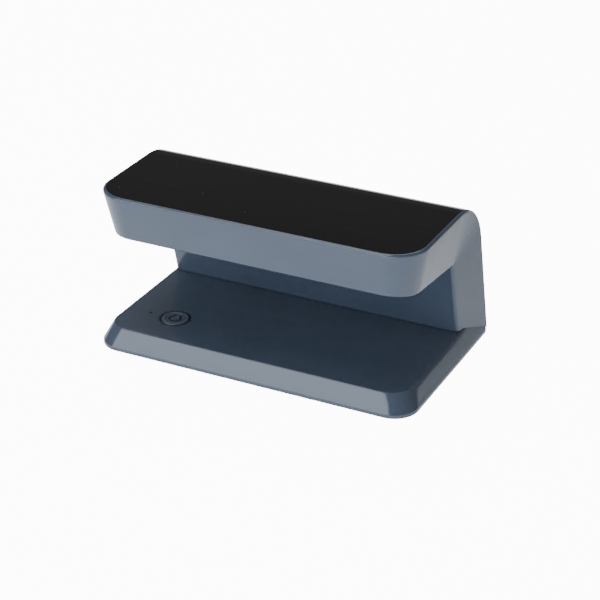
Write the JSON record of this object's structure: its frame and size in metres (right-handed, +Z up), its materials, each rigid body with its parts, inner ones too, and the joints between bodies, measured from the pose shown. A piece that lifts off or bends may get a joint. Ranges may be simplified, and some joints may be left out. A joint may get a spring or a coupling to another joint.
{
  "type": "counterfeit bill detector",
  "caption": "Desktop ultraviolet banknote checker: glossy slate-blue base and overhanging lamp head with black top panel and round power button",
  "frame": {"origin": "Middle of the footprint at floor level, under the four rubber feet.", "axes": "+X runs along the length to the right seen from the open side, -Y faces the user, +Z is up."},
  "size_m": [0.19, 0.115, 0.0938],
  "materials": {
    "slate_plastic": "moulded, glossy",
    "black_gloss": "polished, high gloss",
    "black_plastic": "moulded, fine texture",
    "lens_clear": "clear polycarbonate, polished",
    "white_plastic": "moulded, satin",
    "circuit_board": "solder resist, satin",
    "lamp_body": "clear epoxy, faint violet",
    "steel": "zinc plated",
    "can_metal": "drawn can",
    "resistor_ceramic": "glazed film",
    "cable_jacket": "soft PVC",
    "foot_rubber": "moulded"
  },
  "bodies": {
    "detector": {"base_plate": "black_plastic", "base_plate_screws": "steel", "base_shell": "slate_plastic", "board_resistors": "resistor_ceramic", "button_bezel": "black_plastic", "capacitor_1": "can_metal", "capacitor_2": "can_metal", "column_screws": "steel", "control_board": "circuit_board", "control_board_screws": "steel", "driver_chip": "black_plastic", "foot_front_left": "foot_rubber", "foot_front_right": "foot_rubber", "foot_rear_left": "foot_rubber", "foot_rear_right": "foot_rubber", "indicator_led": "lamp_body", "indicator_lens": "lens_clear", "inductor": "black_plastic", "inlet_board": "circuit_board", "inlet_board_screws": "steel", "inlet_shell": "steel", "inlet_tongue": "black_plastic", "lamp_board": "circuit_board", "lamp_board_screws": "steel", "lamp_cable": "cable_jacket", "lamp_led_1": "lamp_body", "lamp_led_2": "lamp_body", "lamp_led_3": "lamp_body", "lamp_led_4": "lamp_body", "lamp_plug_lower": "white_plastic", "lamp_plug_upper": "white_plastic", "lamp_reflector": "white_plastic", "lamp_resistors": "resistor_ceramic", "lamp_socket_lower": "white_plastic", "lamp_socket_upper": "white_plastic", "lamp_window": "lens_clear", "power_cable": "cable_jacket", "power_plug_lower": "white_plastic", "power_plug_upper": "white_plastic", "power_socket_lower": "white_plastic", "power_socket_upper": "white_plastic", "rear_cover": "slate_plastic", "rear_cover_screws": "steel", "switch_body": "black_plastic", "top_panel": "black_gloss", "upper_housing": "slate_plastic"},
    "button": {"power_button": "slate_plastic", "switch_plunger": "white_plastic"}
  },
  "joints": [
    {"name": "button_press", "type": "slide", "parent": "detector", "child": "button", "axis": [0, 0, -1], "range_m": [0, 0.0006], "stiffness_N_per_m": 400, "springref_m": -0.003}
  ]
}
